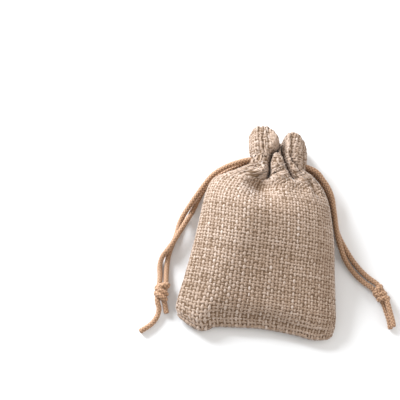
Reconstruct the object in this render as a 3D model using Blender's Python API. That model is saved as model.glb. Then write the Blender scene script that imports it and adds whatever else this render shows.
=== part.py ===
"""A small burlap drawstring sack, stuffed plump and cinched, lying on its back.

The cloth is one hollow sewn bag, open at its gathered mouth. Two drawcords come out of the casing, one
at each side, and each has its two ends tied together in an overhand knot with free tails.
+X is to the sack's right, +Y from its bottom seam to its mouth, +Z up through its thickness.
The tables are in millimetres, measured from the middle of the bottom seam on the surface it lies on.
"""

import bmesh
import bpy
import math
import numpy as np

MM = 0.001

WALL = 1.5  # burlap from yarn crown to yarn crown, with its seam allowances evened out
CORD_DIAMETER = 2.4
CINCH = 74.0  # where the drawcords run, measured up from the bottom seam
RIM = 88.0  # the mouth's folded edge
HOLLOW_FLOOR = 4.0  # where the hollow starts: below it lie the bottom seam's folded edges
SIDE_ALLOWANCE = 3.2  # the folded edges inside each side seam
NECK_ALLOWANCE = 2.1  # the same where the neck is drawn in
ALLOWANCE_EASES = (60.0, 70.0)  # between these heights one becomes the other

# Sections across the sack, from the bottom seam to the mouth.
# up: distance from the bottom seam. left, right: the side seams. side: their height.
# top: the highest point of the front. back: the lowest point of the back.
# front, under: how square the front and the back are, 1 being a half ellipse.
SECTION_COLUMNS = ("up", "left", "right", "side", "top", "back", "front", "under")
SECTIONS = (
    (0.0, -35.2, 33.0, 3.0, 4.8, 1.2, 0.60, 0.60),
    (4.0, -37.2, 34.0, 3.5, 7.9, 0.2, 0.80, 0.80),
    (9.0, -36.8, 33.9, 4.5, 10.9, 0.0, 0.95, 0.85),
    (18.0, -35.2, 32.8, 6.3, 14.6, 0.0, 1.00, 0.85),
    (30.0, -33.5, 30.9, 8.0, 18.6, 0.0, 1.00, 0.85),
    (42.0, -32.2, 29.0, 9.5, 22.6, 0.0, 0.98, 0.85),
    (52.0, -31.3, 26.6, 10.3, 24.6, 0.0, 0.95, 0.85),
    (58.0, -30.2, 24.3, 10.3, 24.0, 0.0, 0.95, 0.85),
    (63.0, -28.4, 21.2, 9.9, 21.6, 0.3, 0.92, 0.80),
    (67.0, -24.0, 17.4, 9.2, 18.6, 1.1, 0.88, 0.75),
    (71.0, -17.4, 14.2, 8.7, 16.5, 1.7, 0.82, 0.70),
    (74.0, -13.4, 12.3, 8.6, 15.8, 1.9, 0.76, 0.64),
    (77.0, -13.6, 12.5, 8.6, 16.2, 1.7, 0.74, 0.64),
    (82.0, -14.6, 12.5, 8.4, 16.8, 1.2, 0.72, 0.66),
    (88.0, -15.4, 11.7, 8.3, 17.6, 0.5, 0.70, 0.66),
)
PRESSED = 0.3  # how much lower the under side would bulge, as a share of its depth, if nothing lay under it

# How far the bottom seam and the mouth's edge stray from level, across the sack from left (0) to right (1).
STRAY_COLUMNS = ("across", "stray")
BOTTOM = ((0.0, 3.6), (0.05, 1.3), (0.12, -1.4), (0.17, -2.4), (0.21, -1.9), (0.25, 0.1), (0.34, 1.0),
          (0.55, 2.2), (0.75, 1.4), (0.86, 0.3), (0.95, 1.2), (1.0, 4.0))
BOTTOM_REACH = 15.0
MOUTH_FRONT = ((0.0, -2.6), (0.12, -0.4), (0.22, 0.8), (0.33, 1.0), (0.42, -0.4), (0.48, -2.8), (0.54, -5.4),
               (0.59, -2.4), (0.64, -0.1), (0.71, 0.0), (0.80, -1.4), (0.90, -3.9), (1.0, -6.6))
MOUTH_BACK = ((0.0, -2.6), (0.25, -0.8), (0.50, -2.2), (0.75, -1.4), (1.0, -6.6))
MOUTH_REACH = 13.0
RIM_ROUND = 0.45  # how far the folded edge rises above the two layers it joins, as a share of the wall

# Folds that the drawn cords press into the cloth: face 1 is the front, -1 the back.
# x_foot, x_cinch, x_rim: its course. foot: where it fades out. half: its half width at the cinch.
FOLD_COLUMNS = ("face", "foot", "x_foot", "x_cinch", "x_rim", "depth_cinch", "depth_rim", "half")
FOLDS = (
    (1, 62.0, -4.6, -5.2, -1.5, 5.2, 3.8, 2.6),
    (1, 62.5, 10.0, 4.5, -0.2, 5.2, 4.6, 2.6),
    (1, 62.0, -9.0, -10.4, -12.0, 2.8, 0.6, 2.6),
    (1, 65.0, 12.2, 9.0, 6.4, 2.6, 0.8, 2.2),
    (-1, 61.0, -12.5, -8.6, -9.4, 3.0, 2.4, 3.0),
    (-1, 64.0, -2.0, -1.2, -1.6, 0.6, 1.2, 2.6),
    (-1, 62.0, 9.6, 6.6, 5.8, 3.0, 2.2, 3.0),
)
FOOT_SPREAD = 1.7  # how many times wider a fold is at its foot than at the cinch
SEAM_HOLD = 0.3  # the side seams hold the cloth: folds and dents fade towards them, faster as this grows

# Shallow dents and swells of the stuffed front: a swell has a negative depth.
DENT_COLUMNS = ("x", "up", "depth", "wide", "tall", "turn")
DENTS = (
    (-8.5, 62.5, 1.3, 5.5, 5.0, 20.0),
    (10.5, 63.0, 1.0, 4.5, 5.0, -20.0),
    (-1.0, 64.5, -0.7, 4.0, 6.0, 0.0),
    (-17.0, 40.0, -0.7, 7.0, 26.0, -18.0),
    (8.0, 30.0, 0.6, 8.0, 22.0, 14.0),
    (-26.0, 5.0, -1.2, 7.0, 5.0, 10.0),
    (-15.5, 3.5, 0.9, 4.0, 5.0, 35.0),
    (26.0, 9.0, -0.6, 6.0, 7.0, 0.0),
)

AROUND = 72  # points round a section, half of them on the front
DENSE = 240  # points of each half that a section is measured on
# Rows are closer together where the cloth turns sharply: up to each height, at this spacing.
ROW_SPACING = ((2.0, 1.0), (14.0, 3.0), (58.0, 5.5), (68.0, 2.5), (80.0, 1.6), (RIM, 2.0))

# The drawcords' routes from the casing to the knot: across, up the sack, height.
# On the left the inner strand climbs over the outer one halfway; on the right one lies on the other.
FLOOR_LINE = CORD_DIAMETER / 2 + 0.1
LEFT_UPPER = (
    (-14.3, 75.1, 10.0), (-18.5, 73.5, 9.6), (-22.4, 71.6, 8.8), (-25.8, 69.5, 7.7), (-28.6, 67.1, 6.6),
    (-31.5, 62.8, 5.3), (-34.0, 58.3, 4.4), (-36.0, 54.5, 3.7), (-37.6, 51.3, 2.9), (-39.0, 48.4, 2.0),
    (-40.1, 45.1, FLOOR_LINE), (-41.0, 38.7, FLOOR_LINE), (-42.4, 33.1, FLOOR_LINE), (-43.0, 29.2, FLOOR_LINE),
    (-43.1, 24.7, FLOOR_LINE), (-42.8, 21.3, 1.6), (-42.4, 17.2, 2.3),
)
LEFT_LOWER = (
    (-14.5, 74.9, 6.9), (-18.6, 72.6, 5.9), (-22.6, 70.2, 4.8), (-26.2, 67.8, 3.8), (-29.3, 64.6, 2.7),
    (-31.6, 61.2, 1.6), (-33.2, 57.6, FLOOR_LINE), (-34.3, 54.2, FLOOR_LINE), (-35.2, 51.2, FLOOR_LINE),
    (-36.1, 48.6, 2.1), (-37.5, 45.2, 3.5), (-38.8, 42.0, 4.0), (-40.2, 38.7, 4.1), (-41.9, 34.8, 4.0),
    (-43.8, 31.3, 3.8), (-45.4, 28.6, 2.7), (-46.1, 26.0, 1.5), (-46.1, 23.6, FLOOR_LINE),
    (-45.6, 20.9, 1.6), (-45.2, 17.1, 2.3),
)
RIGHT_UPPER = (
    (13.1, 75.2, 10.0), (16.9, 73.9, 9.4), (20.2, 71.0, 8.1), (23.1, 67.8, 6.7), (25.1, 64.3, 5.4),
    (26.2, 60.5, 4.6), (27.2, 56.8, 4.2), (28.2, 52.7, 4.1), (29.3, 48.7, 4.1), (30.5, 45.3, 3.9),
    (32.0, 42.0, 3.2), (33.9, 38.6, 2.1), (36.4, 35.4, 1.4), (40.0, 31.8, FLOOR_LINE), (44.0, 28.9, 1.5),
    (47.6, 26.8, 2.2),
)
RIGHT_LOWER = (
    (13.2, 75.0, 6.9), (16.8, 73.2, 5.7), (20.0, 70.7, 4.2), (22.7, 67.6, 2.6), (24.4, 64.6, 1.6),
    (25.8, 61.2, FLOOR_LINE), (27.0, 57.3, FLOOR_LINE), (28.2, 53.3, FLOOR_LINE), (29.7, 49.4, FLOOR_LINE),
    (31.6, 46.2, FLOOR_LINE), (33.7, 43.2, FLOOR_LINE), (35.9, 40.3, FLOOR_LINE), (38.2, 37.6, FLOOR_LINE),
    (41.5, 34.4, FLOOR_LINE), (45.2, 31.6, 1.5), (49.2, 29.1, 2.2),
)
LEFT_TAILS = (
    ((-44.8, 7.9, 2.7), (-43.8, 5.4, 2.1), (-43.9, 2.6, 1.5), (-44.9, 0.0, FLOOR_LINE),
     (-46.5, -2.3, FLOOR_LINE), (-48.6, -4.2, FLOOR_LINE), (-50.7, -6.0, FLOOR_LINE)),
    ((-41.9, 8.7, 2.1), (-41.0, 5.9, 1.5), (-40.2, 3.6, FLOOR_LINE)),
)
RIGHT_TAILS = (
    ((54.8, 20.8, 3.9), (55.9, 18.2, 3.8), (57.0, 15.4, 3.8), (58.0, 12.8, 3.8), (58.6, 10.6, 3.8)),
    ((53.5, 20.3, 1.6), (54.7, 17.8, FLOOR_LINE), (56.0, 15.0, FLOOR_LINE), (57.0, 12.3, FLOOR_LINE),
     (57.5, 10.0, FLOOR_LINE)),
)
CORD_STEP = 2.0  # diameters between the points of a cord's own line

# A pulled-up knot: its middle, the way that the cord runs through it, and the lump's size.
KNOT_COLUMNS = ("x", "up", "turn", "length", "width", "thick")
KNOTS = {
    "left_knot": (-43.7, 12.7, -92.0, 8.2, 6.8, 5.6),
    "right_knot": (51.4, 24.4, -52.0, 8.4, 6.0, 5.4),
}
WRAP_RADIUS = 0.45 * CORD_DIAMETER  # a wrap is squeezed a little thinner than the free cord
WRAP_TILT = 24.0  # how far each wrap leans from square across the knot
WRAP_PLACE = 0.19  # how far each wrap lies from the knot's middle, as a share of its length
CORE_ENDS = 1.2  # the core's radius at its ends, in wrap radii
CORE_SWELL = 0.7  # how much thicker the core is in its middle
KNOT_LIFT = 0.1  # a knot's lowest point above the surface
KNOT_GRAIN = 0.6  # the finest form kept where the wraps are fused

BURLAP = ("burlap", (0.46, 0.33, 0.21), 0.95)
CORD = ("drawcord", (0.42, 0.24, 0.12), 0.75)


def column(rows, names, name):
    return np.array([row[names.index(name)] for row in rows], float)


def curve_through(at, places, values):
    """A smooth curve through a table's values, flat at a peak, so that it never overshoots them."""
    places = np.asarray(places, float)
    values = np.asarray(values, float)
    steps = np.diff(places)
    slopes = np.diff(values) / steps
    tangents = np.empty(len(places))
    tangents[0] = slopes[0]
    tangents[-1] = slopes[-1]
    before, after = slopes[:-1], slopes[1:]
    turning = before * after <= 0
    mean = 2 * before * after / np.where(turning, 1, before + after)
    tangents[1:-1] = np.where(turning, 0, mean)
    at = np.clip(at, places[0], places[-1])
    index = np.clip(np.searchsorted(places, at, side="right") - 1, 0, len(steps) - 1)
    length = steps[index]
    part = (at - places[index]) / length
    near = (1 + 2 * part) * (1 - part) ** 2 * values[index] + part * (1 - part) ** 2 * length * tangents[index]
    far = part**2 * (3 - 2 * part) * values[index + 1] + part**2 * (part - 1) * length * tangents[index + 1]
    return near + far


def ease(amount):
    amount = np.clip(amount, 0, 1)
    return amount * amount * (3 - 2 * amount)


def section_at(up):
    """The section table's values at this height, smoothly between its rows."""
    heights = column(SECTIONS, SECTION_COLUMNS, "up")
    return {
        name: float(curve_through(up, heights, column(SECTIONS, SECTION_COLUMNS, name)))
        for name in SECTION_COLUMNS[1:]
    }


def half_section(up, face, inset):
    """Points of the front (face 1) or the back (-1) from the left seam to the right: x and height."""
    size = section_at(up)
    low_end, high_end = ALLOWANCE_EASES
    drawn_in = float(ease((up - low_end) / (high_end - low_end)))
    side_inset = inset / WALL * ((1 - drawn_in) * SIDE_ALLOWANCE + drawn_in * NECK_ALLOWANCE)
    left = size["left"] + side_inset
    right = size["right"] - side_inset
    turn = np.linspace(0, math.pi, DENSE)
    x = (left + right) / 2 - (right - left) / 2 * np.cos(turn)
    bulge = np.sin(turn)
    if face > 0:
        return x, size["side"] + (size["top"] - inset - size["side"]) * bulge ** size["front"]
    low = size["back"] + inset
    # The under side would bulge lower than the surface, which presses it flat there.
    deep = (1 + PRESSED) * (size["side"] - low)
    return x, np.maximum(low, size["side"] - deep * bulge ** size["under"])


def fold_depth(up, face, run, x, widen):
    """How far the folds push the cloth in at each point of a half section, where run is its length so far."""
    pushed = np.zeros(len(x))
    for row in FOLDS:
        fold = dict(zip(FOLD_COLUMNS, row))
        if fold["face"] != face or up <= fold["foot"]:
            continue
        rise = ease((up - fold["foot"]) / (CINCH - fold["foot"]))
        past = np.clip((up - CINCH) / (RIM - CINCH), 0, 1)
        depth = rise * ((1 - past) * fold["depth_cinch"] + past * fold["depth_rim"])
        course = curve_through(
            up, (fold["foot"], CINCH, RIM), (fold["x_foot"], fold["x_cinch"], fold["x_rim"])
        )
        middle = np.interp(course, x, run)
        half = fold["half"] * (FOOT_SPREAD - (FOOT_SPREAD - 1) * rise) + widen
        # A fold is a narrow slit with round shoulders: cloth bends round each side and meets at the bottom.
        away = np.clip(np.abs(run - middle) / half, 0, 1)
        pushed = np.maximum(pushed, depth * (1 - away) ** 2)
    return pushed


def dent_depth(up, x):
    pushed = np.zeros(len(x))
    for row in DENTS:
        dent = dict(zip(DENT_COLUMNS, row))
        turn = math.radians(dent["turn"])
        across = (x - dent["x"]) * math.cos(turn) + (up - dent["up"]) * math.sin(turn)
        along = (up - dent["up"]) * math.cos(turn) - (x - dent["x"]) * math.sin(turn)
        pushed += dent["depth"] * np.exp(-((across / dent["wide"]) ** 2) - (along / dent["tall"]) ** 2)
    return pushed


def stray_of(edge, across):
    return curve_through(across, column(edge, STRAY_COLUMNS, "across"), column(edge, STRAY_COLUMNS, "stray"))


def half_surface(up, face, inset):
    """One half of the cloth's surface at this height, as rows of x, y and height."""
    base_x, base_z = half_section(up, face, 0.0)
    run = np.concatenate([[0], np.cumsum(np.hypot(np.diff(base_x), np.diff(base_z)))])
    tangent_x, tangent_z = np.gradient(base_x, run), np.gradient(base_z, run)
    normal_x, normal_z = -tangent_z * face, tangent_x * face
    pushed = fold_depth(up, face, run, base_x, inset)
    if face > 0:
        pushed = pushed + dent_depth(up, base_x)
    free = np.clip(np.sin(math.pi * np.linspace(0, 1, DENSE)), 0, 1)
    pushed = pushed * free**SEAM_HOLD
    x, z = half_section(up, face, inset)
    x = x - normal_x * pushed
    z = z - normal_z * pushed
    across = run / run[-1]
    bottom = stray_of(BOTTOM, across) * (1 - ease(up / BOTTOM_REACH))
    edge = MOUTH_FRONT if face > 0 else MOUTH_BACK
    mouth = stray_of(edge, across) * ease((up - RIM + MOUTH_REACH) / MOUTH_REACH)
    return np.stack([x, up + bottom + mouth, z], axis=1)


def ring(up, inset):
    """A closed loop of points round the sack, spaced evenly along the cloth of each half."""
    halves = []
    for face in (1, -1):
        outer = half_surface(up, face, 0.0)
        length = np.concatenate([[0], np.cumsum(np.linalg.norm(np.diff(outer[:, [0, 2]], axis=0), axis=1))])
        marks = np.linspace(0, length[-1], AROUND // 2 + 1)
        points = half_surface(up, face, inset) if inset else outer
        halves.append(np.stack([np.interp(marks, length, points[:, i]) for i in range(3)], axis=1))
    front, back = halves
    return np.concatenate([front[:-1], back[::-1][:-1]])


def row_heights():
    heights = [0.0]
    for end, spacing in ROW_SPACING:
        count = max(1, round((end - heights[-1]) / spacing))
        heights += list(np.linspace(heights[-1], end, count + 1)[1:])
    return heights


def cloth_rings():
    """Rings up the outside, over the mouth's folded edge, and down the inside."""
    heights = row_heights()
    outside = [ring(up, 0.0) for up in heights]
    inside = [ring(up, WALL) for up in heights if up >= HOLLOW_FLOOR]
    edge = (outside[-1] + inside[-1]) / 2 + np.array([0, RIM_ROUND * WALL, 0])
    return outside + [edge] + inside[::-1]


def close_flat(mesh, loop, facing_down):
    """Joins the front of a closed loop to its back, as the seam that ends the bag."""
    half = len(loop) // 2
    for i in range(half):
        corners = [loop[i], loop[i + 1], loop[-i - 1], loop[-i % len(loop)]]
        corners = list(dict.fromkeys(corners))
        mesh.faces.new(corners if facing_down else corners[::-1])


def paint(obj, finish):
    name, colour, roughness = finish
    material = bpy.data.materials.get(name) or bpy.data.materials.new(name)
    material.use_nodes = True
    shader = material.node_tree.nodes["Principled BSDF"]
    shader.inputs["Base Color"].default_value = (*colour, 1)
    shader.inputs["Roughness"].default_value = roughness
    shader.inputs["Metallic"].default_value = 0.0
    obj.data.materials.clear()
    obj.data.materials.append(material)


def add_object(name, data, finish):
    obj = bpy.data.objects.new(name, data)
    bpy.context.scene.collection.objects.link(obj)
    paint(obj, finish)
    return obj


def make_cloth(origin):
    mesh = bmesh.new()
    loops = [[mesh.verts.new((point - origin) * MM) for point in points] for points in cloth_rings()]
    for low, high in zip(loops, loops[1:]):
        for i in range(AROUND):
            j = (i + 1) % AROUND
            mesh.faces.new((low[i], low[j], high[j], high[i]))
    close_flat(mesh, loops[0], True)
    close_flat(mesh, loops[-1], False)
    bmesh.ops.recalc_face_normals(mesh, faces=mesh.faces)
    data = bpy.data.meshes.new("sack_cloth")
    mesh.to_mesh(data)
    mesh.free()
    data.shade_smooth()
    return add_object("sack_cloth", data, BURLAP)


def smooth_route(points, spacing):
    """Evenly spaced points on a smooth curve through the route's own points."""
    points = np.array(points, float)
    legs = np.linalg.norm(np.diff(points, axis=0), axis=1)
    places = np.concatenate([[0], np.cumsum(legs)])
    fine = np.linspace(0, places[-1], 40 * len(points))
    tangents = np.gradient(points, places, axis=0)
    index = np.clip(np.searchsorted(places, fine, side="right") - 1, 0, len(legs) - 1)
    length = legs[index][:, None]
    part = ((fine - places[index]) / legs[index])[:, None]
    line = (
        (1 + 2 * part) * (1 - part) ** 2 * points[index]
        + part * (1 - part) ** 2 * length * tangents[index]
        + part**2 * (3 - 2 * part) * points[index + 1]
        + part**2 * (part - 1) * length * tangents[index + 1]
    )
    run = np.concatenate([[0], np.cumsum(np.linalg.norm(np.diff(line, axis=0), axis=1))])
    count = max(4, round(run[-1] / spacing))
    marks = np.linspace(0, run[-1], count + 1)
    return np.stack([np.interp(marks, run, line[:, i]) for i in range(3)], axis=1)


def tube_curve(name, lines, radius, sides):
    """A curve object with one round tube for each line: its points, its thickness at each, and if it closes."""
    data = bpy.data.curves.new(name, "CURVE")
    data.dimensions = "3D"
    data.bevel_depth = radius
    data.bevel_resolution = sides
    data.use_fill_caps = True
    for line, thickness, closed in lines:
        spline = data.splines.new("POLY")
        spline.points.add(len(line) - 1)
        for point, place, thick in zip(spline.points, line, thickness):
            point.co = (*place, 1)
            point.radius = thick
        spline.use_cyclic_u = closed
    return data


def make_cord(name, route, origin):
    line = (smooth_route(route, CORD_STEP * CORD_DIAMETER) - origin) * MM
    data = tube_curve(name, [(line, np.ones(len(line)), False)], CORD_DIAMETER / 2 * MM, 2)
    return add_object(name, data, CORD)


def make_knot(name, origin):
    """A pulled-up knot: a core with two leaning wraps, fused into one solid."""
    knot = dict(zip(KNOT_COLUMNS, KNOTS[name]))
    middle = np.array([knot["x"], knot["up"], knot["thick"] / 2 + KNOT_LIFT]) - origin
    heading = math.radians(knot["turn"])
    along = np.array([math.cos(heading), math.sin(heading), 0])
    over = np.array([-math.sin(heading), math.cos(heading), 0])
    upward = np.array([0, 0, 1.0])
    half_width = knot["width"] / 2 - WRAP_RADIUS
    half_height = knot["thick"] / 2 - WRAP_RADIUS
    lean = math.tan(math.radians(WRAP_TILT))
    turns = np.linspace(0, 2 * math.pi, 25)[:-1]
    lines = []
    for side in (-1, 1):
        line = [
            middle
            + along * side * (knot["length"] * WRAP_PLACE - lean * half_width * math.cos(turn))
            + over * half_width * math.cos(turn)
            + upward * half_height * math.sin(turn)
            for turn in turns
        ]
        lines.append((np.array(line) * MM, np.ones(len(line)), True))
    parts = np.linspace(-0.5, 0.5, 7)
    core = np.array([middle + along * knot["length"] * part for part in parts])
    lines.append((core * MM, CORE_ENDS + CORE_SWELL * np.cos(math.pi * parts) ** 2, False))
    tubes = tube_curve(name + "_wraps", lines, WRAP_RADIUS * MM, 3)
    helper = bpy.data.objects.new(name + "_wraps", tubes)
    bpy.context.scene.collection.objects.link(helper)
    bpy.context.view_layer.update()
    data = bpy.data.meshes.new_from_object(helper.evaluated_get(bpy.context.evaluated_depsgraph_get()))
    bpy.data.objects.remove(helper, do_unlink=True)
    data.name = name
    obj = add_object(name, data, CORD)
    fuse = obj.modifiers.new("fuse", "REMESH")
    fuse.mode = "VOXEL"
    fuse.voxel_size = KNOT_GRAIN * MM
    fuse.use_smooth_shade = True
    return obj


def sack_origin():
    """The middle of the cloth's box, on the surface that it lies on."""
    points = np.concatenate(cloth_rings())
    middle = (points.min(axis=0) + points.max(axis=0)) / 2
    return np.array([middle[0], middle[1], 0.0])


def build():
    for obj in list(bpy.data.objects):
        bpy.data.objects.remove(obj, do_unlink=True)
    origin = sack_origin()
    make_cloth(origin)
    for name, route in (
        ("left_cord_upper", LEFT_UPPER),
        ("left_cord_lower", LEFT_LOWER),
        ("right_cord_upper", RIGHT_UPPER),
        ("right_cord_lower", RIGHT_LOWER),
        ("left_tail_long", LEFT_TAILS[0]),
        ("left_tail_short", LEFT_TAILS[1]),
        ("right_tail_long", RIGHT_TAILS[0]),
        ("right_tail_short", RIGHT_TAILS[1]),
    ):
        make_cord(name, route, origin)
    for name in KNOTS:
        make_knot(name, origin)


build()
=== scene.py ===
"""The looks of a small burlap drawstring sack, stuffed plump and cinched, lying on its back.

The script is in metres. +X is to the sack's right, +Y from its bottom seam to its mouth, +Z up through its
thickness. Its tables measure from the middle of the bottom seam, on the surface that the sack lies on.
"""

import math

import bpy
import numpy as np
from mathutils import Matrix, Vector


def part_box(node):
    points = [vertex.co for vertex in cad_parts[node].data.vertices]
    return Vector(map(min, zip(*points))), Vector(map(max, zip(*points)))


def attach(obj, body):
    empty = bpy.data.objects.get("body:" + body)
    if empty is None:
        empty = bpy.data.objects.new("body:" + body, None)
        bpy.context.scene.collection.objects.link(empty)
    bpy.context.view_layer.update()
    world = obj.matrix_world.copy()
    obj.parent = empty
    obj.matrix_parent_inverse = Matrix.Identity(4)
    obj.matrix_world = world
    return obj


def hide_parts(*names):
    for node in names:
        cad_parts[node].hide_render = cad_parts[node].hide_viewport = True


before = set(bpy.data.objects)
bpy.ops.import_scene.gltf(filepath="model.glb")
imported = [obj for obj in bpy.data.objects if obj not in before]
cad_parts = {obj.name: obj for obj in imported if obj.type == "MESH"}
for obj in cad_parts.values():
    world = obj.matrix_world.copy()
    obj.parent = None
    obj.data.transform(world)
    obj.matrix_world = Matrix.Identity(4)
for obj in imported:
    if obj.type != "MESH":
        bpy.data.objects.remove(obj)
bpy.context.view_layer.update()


# --------------------------------------------------------------------------------------------- the view
# The sack is seen almost from above: the camera leans a little towards its bottom seam and round to its
# right. It stands far back, so that near and far parts keep their sizes.

VIEW_TURN = math.radians(7.83)
VIEW_LIFT = math.radians(75.0)
VIEW_DISTANCE = 0.9
VIEW_WIDTH = 0.1757  # the breadth of what it sees, at the sack
VIEW_MIDDLE = (-0.0324, 0.0542, 0.0100)
SENSOR_WIDTH = 36.0
SEAM_MIDDLE_IN_BOX = (0.03718, 0.00239, 0.0)  # the bottom seam's middle, from the low corner of the cloth

seam_middle = np.array(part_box("sack_cloth")[0]) + SEAM_MIDDLE_IN_BOX


def look_from(turn, lift):
    """The way from the sack to an eye or a lamp that is this far round to the right and this high."""
    return Vector((math.sin(turn) * math.cos(lift), -math.cos(turn) * math.cos(lift), math.sin(lift)))


eye = bpy.data.objects.new("eye", bpy.data.cameras.new("eye"))
bpy.context.scene.collection.objects.link(eye)
eye.data.sensor_width = SENSOR_WIDTH
eye.data.lens = SENSOR_WIDTH * VIEW_DISTANCE / VIEW_WIDTH
eye.location = Vector(seam_middle + VIEW_MIDDLE) + VIEW_DISTANCE * look_from(VIEW_TURN, VIEW_LIFT)
eye.rotation_euler = look_from(VIEW_TURN, VIEW_LIFT).to_track_quat("Z", "Y").to_euler()
bpy.context.scene.camera = eye


# -------------------------------------------------------------------------------------------- the cloth
# The sack is sewn from two panels of burlap, turned right side out, its top edge folded in as a hem that
# the cords run through. This piece is the cloth's ground, a thin sheet under the yarns that stands partly for
# the haze of fibres between them, shaped by the stuffing, the seams and the folds of the drawn neck. Its dark
# brown is painted shade: the shaded inside of the sack, as it shows through the gaps between the yarns.

CLOTH_MIDDLE = 0.0006  # how deep the middle of the cloth lies under its crowns
CINCH = 0.0740  # how far up the cords draw the neck in
RIM = 0.0880  # how far up the mouth's edge is

# Sections across the sack. up: distance from the bottom seam. left, right: x of the side seams. side: their
# height. top: the highest point of the front. back: the lowest point of the back. front, under: how square
# the front and the back are, 1 being a half ellipse and less being squarer.
SECTION_COLUMNS = ("up", "left", "right", "side", "top", "back", "front", "under")
SECTIONS = (
    (0.0000, -0.0352, 0.0330, 0.0030, 0.0048, 0.0012, 0.60, 0.60),
    (0.0040, -0.0372, 0.0340, 0.0035, 0.0079, 0.0002, 0.80, 0.80),
    (0.0090, -0.0368, 0.0339, 0.0045, 0.0109, 0.0000, 0.95, 0.85),
    (0.0180, -0.0352, 0.0328, 0.0063, 0.0146, 0.0000, 1.00, 0.85),
    (0.0300, -0.0335, 0.0309, 0.0080, 0.0186, 0.0000, 1.00, 0.85),
    (0.0420, -0.0322, 0.0290, 0.0095, 0.0226, 0.0000, 0.98, 0.85),
    (0.0520, -0.0313, 0.0266, 0.0103, 0.0243, 0.0000, 0.95, 0.85),
    (0.0580, -0.0302, 0.0250, 0.0103, 0.0233, 0.0000, 0.95, 0.85),
    (0.0630, -0.0284, 0.0228, 0.0099, 0.0217, 0.0003, 0.92, 0.80),
    (0.0670, -0.0240, 0.0204, 0.0092, 0.0202, 0.0011, 0.88, 0.75),
    (0.0710, -0.0174, 0.0165, 0.0087, 0.0186, 0.0017, 0.82, 0.70),
    (0.0740, -0.0134, 0.0123, 0.0086, 0.0179, 0.0019, 0.76, 0.64),
    (0.0770, -0.0136, 0.0125, 0.0086, 0.0178, 0.0017, 0.74, 0.64),
    (0.0820, -0.0146, 0.0125, 0.0084, 0.0178, 0.0012, 0.72, 0.66),
    (0.0880, -0.0154, 0.0117, 0.0083, 0.0176, 0.0005, 0.70, 0.66),
)
PRESSED = 0.3  # how much lower the under side would bulge if nothing lay under it

# How far up the bottom seam and the mouth's edge stray from level: the share of the way from the left seam
# to the right one, and the stray there. Either stray dies away over its reach.
BOTTOM_EDGE = (
    (0.0, 0.0036), (0.05, 0.0013), (0.12, -0.0014), (0.17, -0.0024), (0.21, -0.0019), (0.25, 0.0001),
    (0.34, 0.0010), (0.55, 0.0022), (0.75, 0.0014), (0.86, 0.0003), (0.95, 0.0012), (1.0, 0.0040),
)
BOTTOM_REACH = 0.015
MOUTH_FRONT = (
    (0.0, -0.0026), (0.12, -0.0004), (0.22, 0.0008), (0.33, 0.0010), (0.42, -0.0004), (0.48, -0.0028),
    (0.54, -0.0054), (0.59, -0.0024), (0.64, -0.0001), (0.71, 0.0000), (0.80, -0.0014), (0.90, -0.0039),
    (1.0, -0.0066),
)
MOUTH_BACK = ((0.0, -0.0026), (0.25, -0.0008), (0.50, -0.0022), (0.75, -0.0014), (1.0, -0.0066))
MOUTH_REACH = 0.013

# Folds of the drawn neck: face 1 is the front, -1 the back. foot: where the fold starts, deepening over rise.
# top: where it has faded out again. x_foot to x_rim: its course at its foot, at 70, 74, 78 and 82 mm up and
# at the rim. cinch, rim: its depth there. left, right: how wide its sides are. sharp: 1 would be a plain V.
FOLD_COLUMNS = (
    "face", "foot", "rise", "top", "x_foot", "x_70", "x_74", "x_78", "x_82", "x_rim",
    "cinch", "rim", "left", "right", "sharp",
)
FOLD_COURSE = ("x_foot", "x_70", "x_74", "x_78", "x_82", "x_rim")
FOLD_HEIGHTS = (0.0700, 0.0740, 0.0780, 0.0820, RIM)
NO_TOP = 0.1  # beyond the mouth: the fold runs on to the rim
FOLDS = (
    (1, 0.0650, 0.0045, NO_TOP, -0.0046, -0.0042, -0.0050, -0.0043, -0.0017, -0.0006,
     0.0092, 0.0070, 0.0026, 0.0026, 2.6),
    (1, 0.0665, 0.0045, NO_TOP, 0.0088, 0.0062, 0.0037, 0.0021, 0.0011, 0.0004,
     0.0092, 0.0085, 0.0026, 0.0032, 2.6),
    (1, 0.0655, 0.0040, 0.0730, 0.0088, 0.0066, 0.0040, 0.0021, 0.0011, 0.0004,
     0.0030, 0.0030, 0.0010, 0.0050, 1.5),
    (1, 0.0690, 0.0030, 0.0800, -0.0100, -0.0105, -0.0118, -0.0140, -0.0150, -0.0150,
     0.0036, 0.0036, 0.0020, 0.0016, 1.7),
    (1, 0.0700, 0.0030, 0.0810, 0.0114, 0.0114, 0.0088, 0.0049, 0.0036, 0.0030,
     0.0034, 0.0034, 0.0018, 0.0018, 2.0),
    (-1, 0.0610, 0.0130, NO_TOP, -0.0125, -0.0096, -0.0086, -0.0088, -0.0090, -0.0094,
     0.0030, 0.0024, 0.0030, 0.0030, 1.4),
    (-1, 0.0640, 0.0100, NO_TOP, -0.0020, -0.0014, -0.0012, -0.0013, -0.0014, -0.0016,
     0.0006, 0.0012, 0.0026, 0.0026, 1.4),
    (-1, 0.0620, 0.0120, NO_TOP, 0.0096, 0.0072, 0.0066, 0.0064, 0.0062, 0.0058,
     0.0030, 0.0022, 0.0030, 0.0030, 1.4),
)
FADE = 0.0035  # the length that a fold takes to fade out at its top
FOOT_SPREAD = 1.7  # how many times wider a fold is at its foot than at the cinch
SEAM_HOLD = 0.3  # the side seams hold the cloth: folds fade towards them, faster as this grows

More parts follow.
